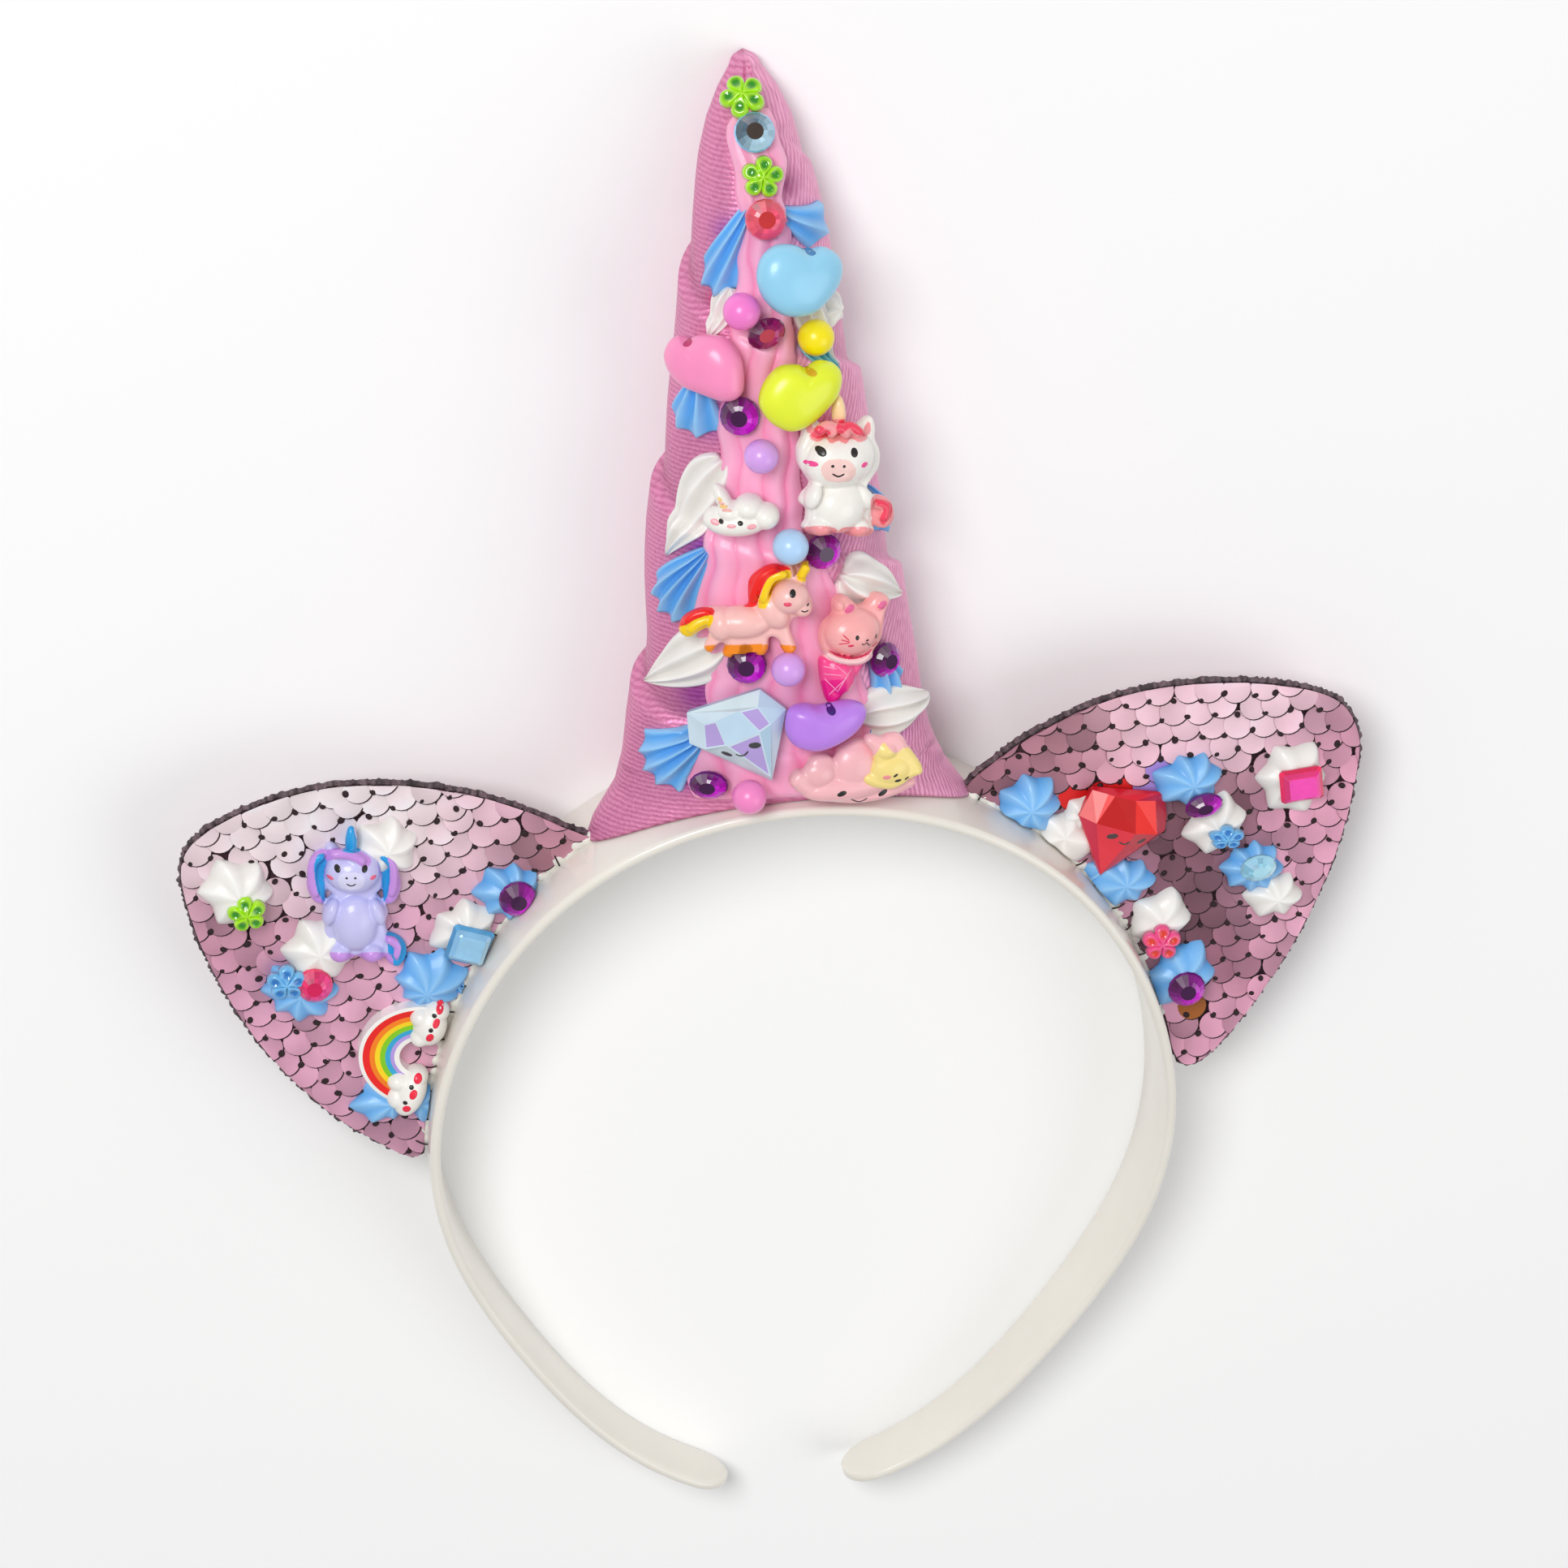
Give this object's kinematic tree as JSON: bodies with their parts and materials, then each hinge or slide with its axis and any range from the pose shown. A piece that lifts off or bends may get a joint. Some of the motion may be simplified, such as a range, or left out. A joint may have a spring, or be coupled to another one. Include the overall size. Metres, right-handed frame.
{
  "type": "unicorn horn headband",
  "caption": "Nearly closed plastic headband with a padded unicorn horn, two sequinned ears, piped cream swirls and small charms and stones.",
  "frame": {"origin": "Middle of the back edge of the strip at the crown, on the surface that the headband lies on", "axes": "+Y from the crown to the tip of the horn, +Z from the back to the decorated front, +X to the right as seen from the front"},
  "size_m": [0.195, 0.2626, 0.0357],
  "materials": {
    "clear_white_shell": "smooth",
    "mauve_foil_cloth": "metallic sheen",
    "pink_cream": "satin",
    "sequin_cloth": "mirror sequins",
    "blue_cream": "satin",
    "white_cream": "satin",
    "lime_resin": "clear",
    "steel_blue_resin": "faceted",
    "coral_resin": "faceted",
    "sky_blue_bead": "polished",
    "bright_pink_bead": "pearl",
    "plum_resin": "faceted",
    "yellow_bead": "pearl",
    "pink_bead": "polished",
    "neon_yellow_bead": "polished",
    "violet_resin": "faceted",
    "lilac_bead": "pearl",
    "white_moulding": "painted",
    "blush_moulding": "painted",
    "salmon_moulding": "painted",
    "ice_blue_moulding": "painted",
    "purple_bead": "polished",
    "rose_moulding": "painted",
    "lilac_moulding": "painted",
    "rainbow_moulding": "painted",
    "red_moulding": "painted"
  },
  "bodies": {
    "root": {"headband": "clear_white_shell", "horn": "mauve_foil_cloth", "horn_cream": "pink_cream", "left_ear": "sequin_cloth", "right_ear": "sequin_cloth", "green_flower_top": "lime_resin", "green_flower_low": "lime_resin", "steel_blue_stone": "steel_blue_resin", "coral_stone": "coral_resin", "blue_heart": "sky_blue_bead", "light_blue_pearl": "sky_blue_bead", "pink_pearl_top": "bright_pink_bead", "pink_pearl_low": "bright_pink_bead", "plum_oval_stone": "plum_resin", "yellow_pearl": "yellow_bead", "pink_heart": "pink_bead", "yellow_heart": "neon_yellow_bead", "purple_stone_high": "violet_resin", "purple_stone_mid": "violet_resin", "purple_stone_low": "violet_resin", "purple_stone_side": "violet_resin", "purple_oval_stone": "violet_resin", "lilac_pearl_top": "lilac_bead", "lilac_pearl_low": "lilac_bead", "white_unicorn": "white_moulding", "white_cloud": "white_moulding", "leaping_unicorn": "blush_moulding", "scoop_cone": "salmon_moulding", "blue_diamond": "ice_blue_moulding", "purple_heart": "purple_bead", "pink_cloud": "rose_moulding", "swirl_blue_top_left": "blue_cream", "swirl_blue_top_right": "blue_cream", "swirl_white_right": "white_cream", "swirl_blue_left": "blue_cream", "leaf_white_left": "white_cream", "fan_blue_left": "blue_cream", "leaf_white_low_left": "white_cream", "fan_blue_low_left": "blue_cream", "swirl_blue_right": "blue_cream", "leaf_white_right": "white_cream", "leaf_white_low_right": "white_cream", "lilac_unicorn": "lilac_moulding", "rainbow": "rainbow_moulding", "red_diamond": "red_moulding", "left_tip_rosette": "white_cream", "left_rosette_high": "white_cream", "left_rosette_mid": "white_cream", "left_blue_rosette": "blue_cream", "left_blue_rosette_inner": "blue_cream", "left_square_stone_swirl": "white_cream", "left_low_swirl": "blue_cream", "right_star_rosette": "blue_cream", "right_white_streak": "white_cream", "right_blue_swirl": "blue_cream", "right_double_rosette": "blue_cream", "right_outer_rosette": "blue_cream", "right_tip_rosette": "white_cream", "right_low_rosettes": "white_cream"}
  },
  "joints": []
}
